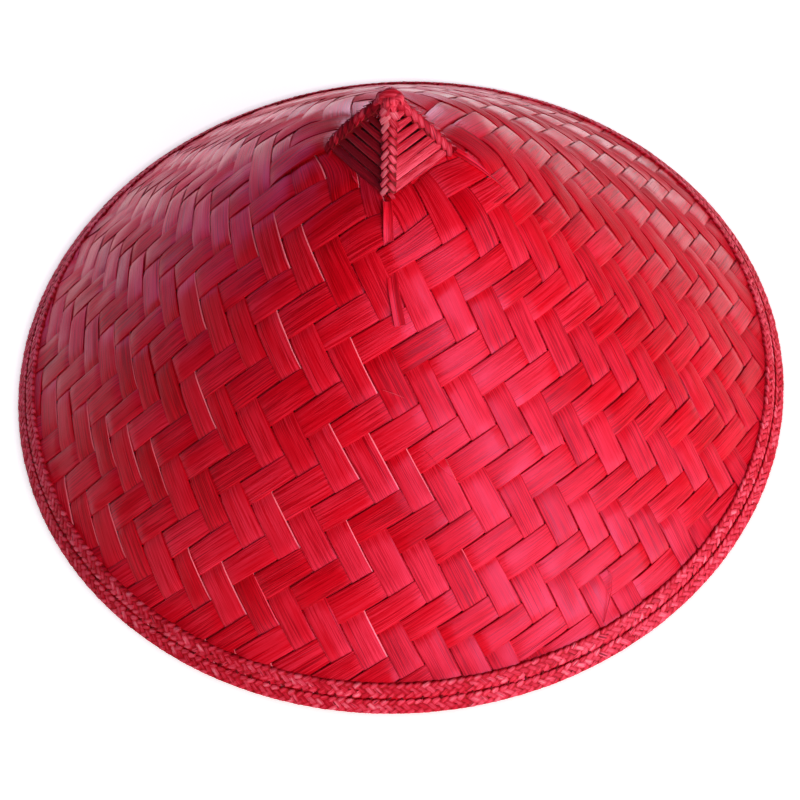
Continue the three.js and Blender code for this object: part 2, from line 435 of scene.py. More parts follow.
crown = {
    "rimRadius": 200.0,
    "height": 171.2,
    "bulge": 1.35,
    "rowThickness": 1.9,
    "fitGap": 0.3,
    "tip": (4.5, -3.0, 171.0),
    "peakBase": 143.0,
    "corners": ((-7.5, 30.0), (80.0, 26.0), (172.0, 27.0), (262.0, 29.0)),
    "meanCorner": 28.0,
    # radius, height and roundness of each section of the shoulder
    "shoulder": ((28.5, 143.0, 0.0), (34.0, 141.1, 0.35), (40.0, 137.2, 0.72), (47.0, 131.3, 1.0)),
    "centredFrom": 85.0,
    "easing": 4.0,
    "radii": (15.0, 206.0),   # kept in the table of heights
    "radiusStep": 0.25,
}
tip = np.array(crown["tip"])


def slopeAtRim(radius):
    return math.atan((crown["height"] + crown["bulge"] * math.pi) / radius)


rowFace = crown["fitGap"] + crown["rowThickness"]
crownRadius = crown["rimRadius"] - rowFace / math.sin(slopeAtRim(crown["rimRadius"]))
rimSlope = slopeAtRim(crownRadius)

# heights and roundness over the radius, eased where the sections meet
tableRadii = np.arange(*crown["radii"], crown["radiusStep"])
sectionRadii, sectionHeights, sectionRoundness = (np.array(row) for row in zip(*crown["shoulder"]))
coneHeights = (crown["height"] * (1 - tableRadii / crownRadius)
               + crown["bulge"] * np.sin(np.pi * tableRadii / crownRadius))
rawHeights = np.where(tableRadii >= sectionRadii[-1], coneHeights,
                      np.interp(tableRadii, sectionRadii, sectionHeights))
rawRoundness = np.interp(tableRadii, sectionRadii, sectionRoundness)


def easeTable(values):
    reach = int(crown["easing"] / crown["radiusStep"] / 2)
    kernel = np.ones(2 * reach + 1) / (2 * reach + 1)
    padded = np.concatenate([
        values[0] + (values[0] - values[1:reach + 1][::-1]),
        values,
        values[-1] + (values[-1] - values[-reach - 1:-1][::-1]),
    ])
    return np.convolve(padded, kernel, mode="valid")


tableHeights = easeTable(rawHeights)
tableRoundness = np.clip(easeTable(rawRoundness), 0.0, 1.0)


def squareReach(azimuth):
    # radius of the straight-sided base of the peak
    corners = crown["corners"]
    turned = np.mod(azimuth - corners[0][0], 360.0)
    reach = np.zeros_like(turned)
    for k, (cornerAzimuth, cornerRadius) in enumerate(corners):
        nextAzimuth, nextRadius = corners[(k + 1) % len(corners)]
        start = cornerAzimuth - corners[0][0]
        span = (nextAzimuth - cornerAzimuth) % 360.0
        past = np.radians(turned - start)
        left = np.radians(start + span - turned)
        across = cornerRadius * np.sin(past) + nextRadius * np.sin(left)
        across = np.where(np.abs(across) < 1e-6, 1e-6, across)
        chord = cornerRadius * nextRadius * math.sin(math.radians(span)) / across
        reach = np.where((turned >= start) & (turned <= start + span), chord, reach)
    return reach


def crownPoint(radius, azimuth):
    radius, azimuth = np.broadcast_arrays(np.asarray(radius, float), np.asarray(azimuth, float))
    height = np.interp(radius, tableRadii, tableHeights)
    roundness = np.interp(radius, tableRadii, tableRoundness)
    square = squareReach(azimuth) * radius / crown["meanCorner"]
    reach = lerp(square, radius, roundness)
    shift = (crown["centredFrom"] - radius) / (crown["centredFrom"] - crown["meanCorner"])
    shift = np.clip(shift, 0.0, 1.0)
    angle = np.radians(azimuth)
    return np.stack([
        tip[0] * shift + reach * np.sin(angle),
        tip[1] * shift - reach * np.cos(angle),
        height,
    ], axis=-1)


def crownNormal(radius, azimuth):
    outward = crownPoint(radius + 0.5, azimuth) - crownPoint(radius - 0.5, azimuth)
    around = crownPoint(radius, azimuth + 0.5) - crownPoint(radius, azimuth - 0.5)
    return unit(np.cross(outward, around))


def onCrown(radius, azimuth, lift):
    return crownPoint(radius, azimuth) + crownNormal(radius, azimuth) * np.asarray(lift)[..., None]


# Splints: closed strips built from rows of one cross-section

# across the strip from -1 to 1, and height from its middle as a share of half its thickness
splintProfile = np.array([
    (-1.0, -0.2), (-0.975, 0.7), (-0.91, 1.0), (-0.3, 1.0), (0.3, 1.0), (0.91, 1.0), (0.975, 0.7),
    (1.0, -0.2), (0.9, -1.0), (0.0, -1.0), (-0.9, -1.0),
])
# the cut edges, past this share of the half width, are painted darker, a painted shade in the gaps between
# splints, and made rougher
cutEdge = {"from": 0.95, "tone": -0.7}
edgeShadeTone = np.where(np.abs(splintProfile[:, 0]) > cutEdge["from"], cutEdge["tone"], 0.0)
# every strip reads its own stretch of the pattern, this far from the one before it
patternStep = {"along": 7.3, "weaveAlong": 17.0, "layer": 3.17}


def strandPlace(along, across, number, step="along"):
    # where the points of a strip read the pattern
    along, across = np.broadcast_arrays(along + number * patternStep[step], across)
    return np.stack([along, across, np.full(across.shape, number * patternStep["layer"])], axis=-1)


class MeshStack:
    # gathers many closed strips into one mesh
    def __init__(self):
        self.points = []
        self.faces = []
        self.strand = []
        self.across = []
        self.tone = []
        self.count = 0

    def addRows(self, points, strand, tone, keep=None):
        # points: rows x loop x 3. keep: which stretches between rows are real
        rows, loop = points.shape[:2]
        if keep is None:
            keep = np.ones(rows - 1, bool)
        if not keep.any():
            return
        start = self.count
        self.points.append(points.reshape(-1, 3))
        self.strand.append(strand.reshape(-1, 3))
        across = unit(points[:, [loop // 2 + 1]] - points[:, [1]])
        self.across.append(np.broadcast_to(across, points.shape).reshape(-1, 3))
        self.tone.append(np.broadcast_to(tone, (rows, loop)).reshape(-1))
        self.count += rows * loop
        index = start + np.arange(rows * loop).reshape(rows, loop)
        turned = np.roll(index, -1, axis=1)
        quads = np.stack([index[:-1], turned[:-1], turned[1:], index[1:]], axis=-1)
        corners = points.reshape(-1, 3)[quads - start]
        area = np.linalg.norm(np.cross(corners[..., 2, :] - corners[..., 0, :],
                                       corners[..., 3, :] - corners[..., 1, :]), axis=-1)
        wanted = keep[:, None] & (area > 1e-5)      # flat leftovers are dropped
        self.faces.extend(quads[wanted].tolist())
        edges = np.flatnonzero(np.diff(np.concatenate([[False], keep, [False]]).astype(int)))
        for first, last in zip(edges[::2], edges[1::2]):
            self.faces.append(index[first][::-1].tolist())
            self.faces.append(index[last].tolist())

    def addRibbon(self, path, side, out, halfWidth, thickness, camber, number, tone, profile=splintProfile):
        # path, side and out: rows x 3; camber is the rise of the middle over the edges
        v = profile[:, 0]
        across = np.broadcast_to(halfWidth, len(path))[:, None] * v
        height = profile[:, 1] * thickness / 2 + camber * (1 - v ** 2)
        points = (path[:, None, :]
                  + side[:, None, :] * across[..., None]
                  + out[:, None, :] * height[None, :, None])
        steps = np.linalg.norm(np.diff(path, axis=0), axis=1)
        along = np.concatenate([[0.0], np.cumsum(steps)])
        self.addRows(points, strandPlace(along[:, None], across, number), tone)

    def build(self, name):
        points = np.concatenate(self.points) * mm
        mesh = bpy.data.meshes.new(name)
        faces = self.faces
        if self.turnedIn(points):
            faces = [face[::-1] for face in faces]
        mesh.from_pydata(points, [], faces)
        strand = mesh.attributes.new("strand", "FLOAT_VECTOR", "POINT")
        strand.data.foreach_set("vector", np.concatenate(self.strand).ravel())
        if self.across:
            across = mesh.attributes.new("across", "FLOAT_VECTOR", "POINT")
            across.data.foreach_set("vector", np.concatenate(self.across).ravel())
        tone = mesh.attributes.new("tone", "FLOAT", "POINT")
        tone.data.foreach_set("value", np.concatenate(self.tone))
        mesh.update()
        piece = bpy.data.objects.new(name, mesh)
        bpy.context.collection.objects.link(piece)
        return piece

    def turnedIn(self, points):
        quads = np.array([face for face in self.faces if len(face) == 4])
        a, b, c, d = (points[quads[:, k]] for k in range(4))
        volume = np.einsum("ij,ij->i", a, np.cross(b, c) + np.cross(c, d)).sum()
        return volume < 0

    def finish(self, name, angle, slot, stuff, *nodes):
        piece = self.build(name)
        smoothPiece(piece, angle)
        return finishPiece(piece, name, slot, stuff, *nodes)


# The weave: two families of flat splints over the crown, two over and two under

weave = {
    "pitch": 12.85,           # a splint's width with its gap, where the fit is even
    "splints": 28,            # to each side of the middle one
    "thickness": 0.45,
    "rise": 0.5,              # from the middle of the mat to the middle of a splint on top
    "loose": 0.24,            # how unevenly splints rise
    "camber": 0.14,
    "middle": -0.85,          # the middle of the mat, from the crown's outer face
    "rimRise": 1.1,           # how far the mat rises to the sewn rim
    "rimRiseFrom": 182.0,
    "rimRiseOver": 9.0,
    "gap": 0.034,             # between neighbours, as a share of the pitch
    "dive": 0.34,             # how long a splint takes to dive, as a share of the pitch
    "steps": 6,               # rows of points for each crossing
    "innerRadius": 27.2,
    "outerRadius": 194.4,
    "reach": 292.0,           # of the flat mat from its middle
    "uneven": 0.085,          # how far an edge strays, as a share of the pitch
    "strayWaves": ((0.55, 0.4), (0.21, 0.35)),       # slope and size of each wave in an edge
    "curl": 0.17,             # how far an edge stands up
    "curlWaves": (1.9, 0.7),
    "shortest": 0.2,          # a splint shorter than this many crossings is left out
    "glintEdgePaint": 6.0,          # how pale a painted glint on an edge is
    "glintChance": (2.0, 0.6),  # chance of a painted glint on an edge: times the first, less the second
    "glintAzimuth": (-110.0, 20.0),
    "glintFade": 25.0,
}
# a rising splint at the left of the peak that stays on top for a long way
longFloat = {"index": -5, "from": -3, "to": 0, "under": -4}

# The mat is woven flat, with a quarter of the plane left out, and then bent to the cone.
# Seen flat, rising splints run up to the right and falling splints run down to the right.
frontMat = {
    "risingAngle": 28.17,
    "fallingAngle": 23.51,
    "turn": 0.765,
    # place of a splint by its number: start, step, and how the step changes about a number
    "rising": (50.44, 12.98, -0.076, 4),
    "falling": (-31.52, 12.43, 0.006, 0),
}
backMat = {
    "angle": 26.0,
    "turn": 0.75,
    "from": 95.0,             # azimuths between which the front's grid eases into this one
    "to": 160.0,
    "rising": 3.5,            # numbers added to a splint's own, to count from the middle
    "falling": -2.5,
}
slant = {"start": 38.64, "rise": 6.53, "fall": -4.85}

slantShare = np.linspace(0.0, 1.3, 521)
slantSlope = np.radians(slant["start"] + slant["rise"] * slantShare + slant["fall"] * slantShare ** 2)
slantStep = slantShare[1] - slantShare[0]
slantReach = np.concatenate([[0.0], np.cumsum((np.cos(slantSlope[1:]) + np.cos(slantSlope[:-1])) / 2)])
slantReach *= slantStep
slantScale = crown["rimRadius"] / np.interp(1.0, slantShare, slantReach)


def flatToCrown(x, y, turn):
    # from the flat mat to a radius and an azimuth on the crown
    radius = np.interp(np.hypot(x, y), slantShare * slantScale, slantReach * slantScale)
    return radius, np.degrees(np.arctan2(x, -y)) / turn


def evenMat(i, j):
    # the regular grid that closes on itself at the back; i counts rising splints, j falling ones
    a = (i + backMat["rising"]) * weave["pitch"]
    b = (j + backMat["falling"]) * weave["pitch"]
    angle = math.radians(backMat["angle"])
    return b * math.cos(angle) + a * math.sin(angle), b * math.sin(angle) - a * math.cos(angle)


def seenMat(i, j):
    # the slightly uneven grid of the front
    def place(number, start, step, change, about):
        return start + step * number + change * (number - about) ** 2

    a, b = place(i, *frontMat["rising"]), place(j, *frontMat["falling"])
    rising = math.radians(frontMat["risingAngle"])
    falling = math.radians(frontMat["fallingAngle"])
    return b * math.cos(rising) + a * math.sin(falling), b * math.sin(rising) - a * math.cos(falling)


def matPlace(i, j):
    evenRadius, evenAzimuth = flatToCrown(*evenMat(i, j), backMat["turn"])
    seenRadius, seenAzimuth = flatToCrown(*seenMat(i, j), frontMat["turn"])
    share = easeInOut((np.abs(evenAzimuth) - backMat["from"]) / (backMat["to"] - backMat["from"]))
    return lerp(seenRadius, evenRadius, share), lerp(seenAzimuth, evenAzimuth, share), share


def matCell(radius, azimuth):
    # the place in the grid of a point on the crown, by a few steps of Newton's rule
    cell = np.array([2.0, 0.0])
    wanted = np.array([radius * math.sin(math.radians(azimuth)), radius * math.cos(math.radians(azimuth))])

    def spot(i, j):
        r, turned, _ = matPlace(np.array(i), np.array(j))
        angle = math.radians(float(turned))
        return np.array([float(r) * math.sin(angle), float(r) * math.cos(angle)])

    for _ in range(12):
        here = spot(*cell)
        step = 0.01
        slopeI = (spot(cell[0] + step, cell[1]) - here) / step
        slopeJ = (spot(cell[0], cell[1] + step) - here) / step
        cell = cell + np.linalg.solve(np.stack([slopeI, slopeJ], axis=1), wanted - here)
    return cell


def twill(i, j):
    return np.isin(np.mod(j - i, 4), (0, 1))


def risingOnTop(i, j):
    # past the seam at the back, a crossing takes its order from the mat's other edge
    x, y = evenMat(i + 0.5, j + 0.5)
    gone = y > np.abs(x)
    onFloat = i == longFloat["index"]
    order = twill(i, j) | (onFloat & (j >= longFloat["from"]) & (j <= longFloat["to"]))
    order = order & ~(onFloat & (j == longFloat["under"]))
    order = np.where(gone & (x >= 0), ~twill(-j - 2, i + 6), order)
    return np.where(gone & (x < 0), ~twill(j - 6, -i - 2), order)


randomTable = np.random.default_rng(seed).random((6, 4, 96))
fullTurn = 6.28               # any start for a wave


def chance(family, kind, index):
    return randomTable[kind, family, np.mod(index, 96)]


def edgeStray(family, index, along):
    # how far the edge before a splint strays from its place in the grid
    slow = 0.0
    for kind, (slope, size) in enumerate(weave["strayWaves"]):
        slow = slow + np.sin(along * slope + chance(family, kind, index) * fullTurn) * size
    return weave["uneven"] * (slow + (chance(family, 2, index) - 0.5))


def fadeAt(i, j):
    # unevenness dies out before the seam at the back
    return 1.0 - matPlace(i, j)[2]


def crossedPlace(family, along, across):
    # where a point is among the strayed edges of the splints that cross it
    nearest = np.round(along).astype(int)
    closeness = 1.0 - 2.0 * np.abs(along - nearest)
    return along - edgeStray(family, nearest, across) * closeness


def splintLift(family, index, place):
    # height of a splint's middle over the middle of the mat
    before = np.floor(place - 0.5).astype(int)
    share = place - 0.5 - before
    if family == 0:
        first, second = risingOnTop(index, before), risingOnTop(index, before + 1)
    else:
        first, second = ~risingOnTop(before, index), ~risingOnTop(before + 1, index)
    blend = easeInOut((share - 0.5) / (2 * weave["dive"]) + 0.5)
    level = 2 * lerp(first.astype(float), second.astype(float), blend) - 1
    unevenFirst = chance(family, 3, before * 7 + index * 13)
    unevenSecond = chance(family, 3, (before + 1) * 7 + index * 13)
    loose = lerp(unevenFirst, unevenSecond, easeInOut(share)) - 0.5
    return weave["rise"] * level + weave["loose"] * loose * (level > 0)


def addSplint(stack, family, index, low, high, number, alongSign, acrossSign):
    # low and high: where each line of the profile starts and ends, counted in crossings
    v = splintProfile[:, 0]
    first, last = float(np.min(low)), float(np.max(high))
    if last - first < weave["shortest"]:
        return
    rows = int((last - first) * weave["steps"]) + 2
    along = np.linspace(first, last, rows)[:, None]
    along = np.clip(along, low[None, :], high[None, :])
    middle = along.mean(axis=1, keepdims=True)
    if family == 0:
        fade = fadeAt(index + 0.5, middle)
    else:
        fade = fadeAt(middle, index + 0.5)
    edgeLow = index + edgeStray(family, index, along) * fade + weave["gap"] / 2
    edgeHigh = index + 1 + edgeStray(family, index + 1, along) * fade - weave["gap"] / 2
    across = lerp(edgeLow, edgeHigh, (v + 1) / 2)
    crossing = 1 - family
    warped = lerp(along, crossedPlace(crossing, along, across), fade)
    lift = splintLift(family, index, warped)
    quick, slow = weave["curlWaves"]
    curl = np.sin(along * quick + chance(family, 4, index) * fullTurn) * np.sin(along * slow + index)
    lift = lift + weave["curl"] * curl * v * fade
    lift = lift + weave["camber"] * (1 - v ** 2) + splintProfile[:, 1] * weave["thickness"] / 2
    i, j = (across, along) if family == 0 else (along, across)
    for spot in raisedSpots:
        if spot["family"] == family and spot["index"] == index:
            window = np.exp(-((along - spot["at"]) / spot["length"]) ** 2)
            tilt = lerp(1.0, (1 + v * spot["edge"]) / 2, abs(spot["edge"]))
            lift = lift + spot["height"] * window * tilt
    radius, azimuth, _ = matPlace(i, j)
    inside = (radius > weave["innerRadius"]) & (radius < weave["outerRadius"])
    radius = np.clip(radius, weave["innerRadius"], weave["outerRadius"])
    pressed = weave["rimRise"] * easeInOut((radius - weave["rimRiseFrom"]) / weave["rimRiseOver"])
    points = onCrown(radius, azimuth, lift + weave["middle"] + pressed)
    rowInside = inside.any(axis=1)
    keep = rowInside[:-1] | rowInside[1:]
    width = weave["pitch"]
    strand = strandPlace(along * width * alongSign, v * width / 2 * acrossSign, number, "weaveAlong")
    # each float has a tone of its own, half from the whole splint's, with painted shade on its cut edges
    floatNumber = index * 31 + np.floor((along - index + crossing) / 4).astype(int) * 17
    tone = lerp(chance(2, 0, number), chance(family, 5, floatNumber), 0.5) + edgeShadeTone
    if family == 1:
        # some falling floats at the left of the front get a painted glint along one edge, a pale line
        # painted where the cut edge catches the light from the right
        often, seldom = weave["glintChance"]
        glintFrom, glintTo = weave["glintAzimuth"]
        glintAmount = np.clip(chance(3, 0, floatNumber) * often - seldom, 0.0, 1.0)
        glintAmount = glintAmount * easeInOut((azimuth - glintFrom) / weave["glintFade"])
        glintAmount = glintAmount * easeInOut((glintTo - azimuth) / weave["glintFade"])
        tone = tone + np.where(v > cutEdge["from"], weave["glintEdgePaint"] * glintAmount, 0.0)
    stack.addRows(points, strand, tone, keep)


def weaveMat(family):
    stack = MeshStack()
    v = splintProfile[:, 0]
    pitch = weave["pitch"]
    angle = math.radians(backMat["angle"])
    steep = (math.cos(angle) + math.sin(angle)) / (math.cos(angle) - math.sin(angle))
    offset, crossOffset = backMat["rising"], backMat["falling"]
    if family == 1:
        offset, crossOffset = crossOffset, offset
    for index in range(-weave["splints"], weave["splints"] + 1):
        across = index + offset + (v + 1) / 2
        centre = (index + offset + 0.5) * pitch
        if abs(centre) > weave["reach"]:
            continue
        half = math.sqrt(weave["reach"] ** 2 - centre ** 2) / pitch
        low = np.full(len(v), -half - crossOffset)
        high = np.full(len(v), half - crossOffset)
        if family == 1:
            # falling splints end at the seam on their way up
            cut = np.where(across > 0, -across / steep, across * steep) - crossOffset
            addSplint(stack, 1, index, np.maximum(low, cut), high, index, 1, 1)
        elif centre > 0.1:
            addSplint(stack, 0, index, low, high, 40 + index, 1, 1)
        else:
            # a rising splint behind the peak is two splints, one each side of the seam
            rightCut = np.where(across < 0, -across * steep, 0.0) - crossOffset
            leftCut = np.where(across < 0, across / steep, 0.0) - crossOffset
            addSplint(stack, 0, index, np.maximum(low, rightCut), high, index + 6, -1, 1)
            addSplint(stack, 0, index, low, np.minimum(high, leftCut), -index - 2, 1, -1)
    return stack


frontTail = {
    "from": (29.0, -7.5),     # radius and azimuth
    "to": (71.5, 0.6),
    "thickness": 0.4,
    "halfWidths": (2.0, 2.2, 2.3, 2.4),
    "under": (48.5, 0.45),    # where it goes under a splint: radius, and share of the way
    "lift": 0.45,
    "dip": 1.3,
    "dipHalf": 0.72,          # in splints, to each side of the middle of that one
    "dipEase": 0.24,
}
underRadius, underShare = frontTail["under"]
underCell = matCell(underRadius, lerp(frontTail["from"][1], frontTail["to"][1], underShare))

# splints that something passes under, or that stand up at an edge
raisedSpots = [
    {"family": 0, "index": 0, "at": float(underCell[1]), "length": 0.5, "height": 0.8, "edge": 0},
    {"family": 0, "index": -5, "at": -1.5, "length": 1.3, "height": 0.9, "edge": 1},
]

for family, name in enumerate(("rising_splints", "falling_splints")):
    weaveMat(family).finish(name, 48, "woven_splints", dyedBamboo, "crown_wall")
print("mat woven")

# A leaf: the part of a plaited strip that shows between two folds, modelled once

peakLeaf = {"length": 5.5, "width": 2.3, "thickness": 0.5, "camber": 0.2, "taper": 0.28, "cells": (6, 4)}
rimLeaf = {"length": 4.5, "width": 2.5, "thickness": 0.36, "camber": 0.15, "taper": 0.3, "cells": (5, 4)}
leafForm = {
    "aslant": 0.12,           # of the ends, as a share of the width
    "droop": 2.4,             # how much the ends lie lower than the middle, in cambers
    "foldMiddleTone": 0.25,         # paler on the middle of each leaf
    "edgeTone": 0.6,          # and this much darker towards its edges
    "edgeFrom": 0.45,
    "edgeOver": 0.5,
}


def modelLeaf(leaf):
    clearSelection()
    cellsAlong, cellsAcross = leaf["cells"]
    bpy.ops.mesh.primitive_grid_add(x_subdivisions=cellsAlong - 1, y_subdivisions=cellsAcross - 1, size=1)
    piece = bpy.context.object
    for vertex in piece.data.vertices:
        along, across = vertex.co.x, vertex.co.y * 2
        narrowed = 1.0 - leaf["taper"] * abs(2 * along) ** 3
        vertex.co.x = along * leaf["length"] + across * leaf["width"] * leafForm["aslant"]
        vertex.co.y = across * leaf["width"] / 2 * narrowed
        vertex.co.z = leaf["camber"] * (1 - across ** 2) * (1 - leafForm["droop"] * along ** 2)
    pick(piece)
    wall = piece.modifiers.new("wall", "SOLIDIFY")
    wall.thickness = leaf["thickness"]
    wall.offset = -1
    bpy.ops.object.modifier_apply(modifier=wall.name)
    points = np.array([vertex.co[:] for vertex in piece.data.vertices])
    faces = [list(face.vertices) for face in piece.data.polygons]
    bpy.data.objects.remove(piece)
    return points, faces


class LeafStack(MeshStack):
    # many copies of one leaf, each turned, sized and tipped in a flat frame, then bent into place
    def __init__(self, leaf):
        super().__init__()
        self.leafPoints, self.leafFaces = modelLeaf(leaf)
        edge = np.maximum(np.abs(self.leafPoints[:, 0]) * 2 / leaf["length"],
                          np.abs(self.leafPoints[:, 1]) * 2 / leaf["width"])
        deep = easeInOut((edge - leafForm["edgeFrom"]) / leafForm["edgeOver"])
        self.leafTone = leafForm["foldMiddleTone"] - leafForm["edgeTone"] * deep

    def addLeaf(self, place, angle, size, tip, roll, tone, number, bend):
        points = self.leafPoints * np.array([size[0], size[1], 1.0])
        height = points[:, 2] + points[:, 0] * math.tan(tip) + points[:, 1] * math.tan(roll)
        cosine, sine = math.cos(angle), math.sin(angle)
        x = place[0] + points[:, 0] * cosine - points[:, 1] * sine
        y = place[1] + points[:, 0] * sine + points[:, 1] * cosine
        start = self.count
        self.points.append(bend(x, y, place[2] + height))
        self.strand.append(strandPlace(points[:, 0], points[:, 1], number))
        self.tone.append(self.leafTone + tone)
        self.faces.extend([[start + k for k in face] for face in self.leafFaces])
        self.count += len(points)


# Rim: two rows of flat plait sewn round the edge

rim = {
    "rowWidth": 7.2,
    "between": 0.3,
    "coreDepth": 0.6,         # the core's face under the leaves
    "coreFoot": -1.2,         # where its upper edge goes in among the splints
    "ease": 0.7,
    "leafPitch": 3.75,
    "leafAngle": 38.0,
    "columns": (-2.4, 0.0, 2.4),
    "trim": 0.3,              # how much narrower than its row a core is at each edge
    "sink": 0.42,             # from the row's face to the middle of a leaf
    "edgeGive": 0.8,          # how close to the row's edge the leaves are squeezed
    "edgeOver": 0.05,
    "drops": {1: (1.2, 0.3), 2: (0.3, 1.5)},         # of the leaves at each row's lower and upper edge
    "dropOver": 2.4,
    "floorGap": 0.8,
    "leafTip": 5.0,
    # how far each leaf strays
    "alongStray": 0.06,
    "acrossStray": 0.25,
    "liftStray": 0.08,
    "angleStray": 10.0,
    "tipStray": 3.0,
    "rollStray": 7.0,
    "leafLong": (0.88, 1.06),
    "leafWide": (0.88, 1.08),
    "steps": 192,
}
stitch = {
    "pitch": 7.5,
    "reach": 1.1,
    "sink": 0.35,             # under the rows' face, and further at its ends
    "endSink": 0.6,
    "lean": (-0.3, 0.6),      # degrees round the hat
    "stray": 0.15,
    "halfWidth": 0.28,
    "thickness": 0.4,
    "camber": 0.1,
}
rowFootSlant = -rowFace / math.tan(rimSlope)


def onRim(slantMm, lift, azimuth):
    radial = crownRadius - slantMm * math.cos(rimSlope) + lift * math.sin(rimSlope)
    height = slantMm * math.sin(rimSlope) + lift * math.cos(rimSlope)
    angle = np.radians(azimuth)
    return np.stack([radial * np.sin(angle), -radial * np.cos(angle), height], axis=-1)


def rimCore(name, lowSlant, meetsFloor, node):
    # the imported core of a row: its section drawn at the front and spun round the hat
    face = rowFace - rim["coreDepth"]
    highSlant = lowSlant + rim["rowWidth"] - rim["trim"]
    trimmed = lowSlant + rim["trim"]
    fit = crown["fitGap"]
    ease = rim["ease"]
    if meetsFloor:
        section = [(-fit / math.tan(rimSlope), fit), (-face / math.tan(rimSlope), face)]
    else:
        section = [(trimmed, face - ease), (trimmed + ease, face)]
    section += [(highSlant - ease, face), (highSlant, face - ease), (highSlant, rim["coreFoot"])]
    if not meetsFloor:
        section += [(trimmed, rim["coreFoot"])]
    ring = [onRim(s, lift, 0.0) * mm for s, lift in section]
    mesh = bpy.data.meshes.new(name)
    count = len(ring)
    mesh.from_pydata([tuple(p) for p in ring], [(k, (k + 1) % count) for k in range(count)], [])
    piece = bpy.data.objects.new(name, mesh)
    bpy.context.collection.objects.link(piece)
    editMesh(
        piece,
        (bpy.ops.mesh.spin, {"steps": rim["steps"], "angle": 2 * math.pi, "axis": (0, 0, 1)}),
        (bpy.ops.mesh.remove_doubles, {"threshold": 0.00002}),
        (bpy.ops.mesh.normals_make_consistent, {"inside": False}),
    )
    smoothPiece(piece, 40)
    finishPiece(piece, name, "rim_plait", rimCoreShaded, node)


def rimLeaves(name, middleSlant, family, node):
    stack = LeafStack(rimLeaf)
    rng = np.random.default_rng(seed + 100 + family)
    radius = crownRadius - middleSlant * math.cos(rimSlope)
    count = int(2 * math.pi * radius / rim["leafPitch"])
    pitch = 2 * math.pi * radius / count
    perMm = 360.0 / (2 * math.pi * radius)

    half = rim["rowWidth"] / 2 + rim["edgeOver"]
    give = rim["edgeGive"]
    lowDrop, highDrop = rim["drops"][family]
    gap = rim["floorGap"]

    def bend(x, y, z):
        # the leaves fold over at the edges of the row, so its outline stays smooth
        past = np.maximum(np.abs(y) - (half - give), 0.0)
        squeezed = np.where(past > 0, half - give * np.exp(-past / give), np.abs(y))
        z = z - np.where(y < 0, lowDrop, highDrop) * easeInOut(past / (rim["dropOver"] * give))
        points = onRim(middleSlant + np.sign(y) * squeezed, z, x * perMm)
        # nothing goes below the edge the hat stands on
        height = points[:, 2]
        points[:, 2] = np.where(height < gap, gap * np.exp((height - gap) / gap), height)
        return points

    def stray(name):
        return rng.uniform(-rim[name], rim[name])

    for k in range(count):
        for column, y in enumerate(rim["columns"]):
            side = -1 if column % 2 else 1
            x = (k + (0.5 if side > 0 else 0.0) + stray("alongStray")) * pitch
            place = (x, y + stray("acrossStray"), rowFace - rim["sink"] + stray("liftStray"))
            angle = math.radians(side * (rim["leafAngle"] + stray("angleStray")))
            size = (rng.uniform(*rim["leafLong"]), rng.uniform(*rim["leafWide"]))
            tipped = math.radians(rim["leafTip"] + stray("tipStray"))
            roll = math.radians(stray("rollStray"))
            stack.addLeaf(place, angle, size, tipped, roll, rng.random(), k * 3 + column, bend)
    stack.finish(name, 50, "rim_plait", rimBamboo, node)


lowerMiddle = rowFootSlant + rim["rowWidth"] / 2
upperMiddle = lowerMiddle + rim["rowWidth"] + rim["between"]
rimCore("rim_core_lower", rowFootSlant, True, "rim_plait_lower")
rimCore("rim_core_upper", rowFootSlant + rim["rowWidth"] + rim["between"], False, "rim_plait_upper")
rimLeaves("rim_leaves_lower", lowerMiddle, 1, "rim_plait_lower")
rimLeaves("rim_leaves_upper", upperMiddle, 2, "rim_plait_upper")


def rimStitches():
    # thread that ties the two rows together, sunk in the seam
    stack = MeshStack()
    rng = np.random.default_rng(seed + 7)
    seam = rowFootSlant + rim["rowWidth"] + rim["between"] / 2
    radius = crownRadius - seam * math.cos(rimSlope)
    count = int(2 * math.pi * radius / stitch["pitch"])
    half = stitch["halfWidth"]
    share = np.linspace(-1, 1, 5)
    for k in range(count):
        azimuth = (k + rng.uniform(-stitch["stray"], stitch["stray"])) * 360.0 / count
        lean = rng.uniform(*stitch["lean"])
        lift = rowFace - stitch["sink"] - stitch["endSink"] * share * share
        path = onRim(seam + share * stitch["reach"], lift, azimuth + share * lean)
        forward = unit(np.gradient(path, axis=0))
        out = np.tile(unit(onRim(seam, 3.0, azimuth) - onRim(seam, 0.0, azimuth)), (len(share), 1))
        side = unit(np.cross(out, forward))
        stack.addRibbon(path, side, out, half, stitch["thickness"], stitch["camber"], k, rng.random())
    stack.finish("rim_stitches", 60, "rim_plait", sewingThread)


rimStitches()
print("rim plaited")

# Peak: rungs between fishbone plaits, a woven knob and a folded strip over it

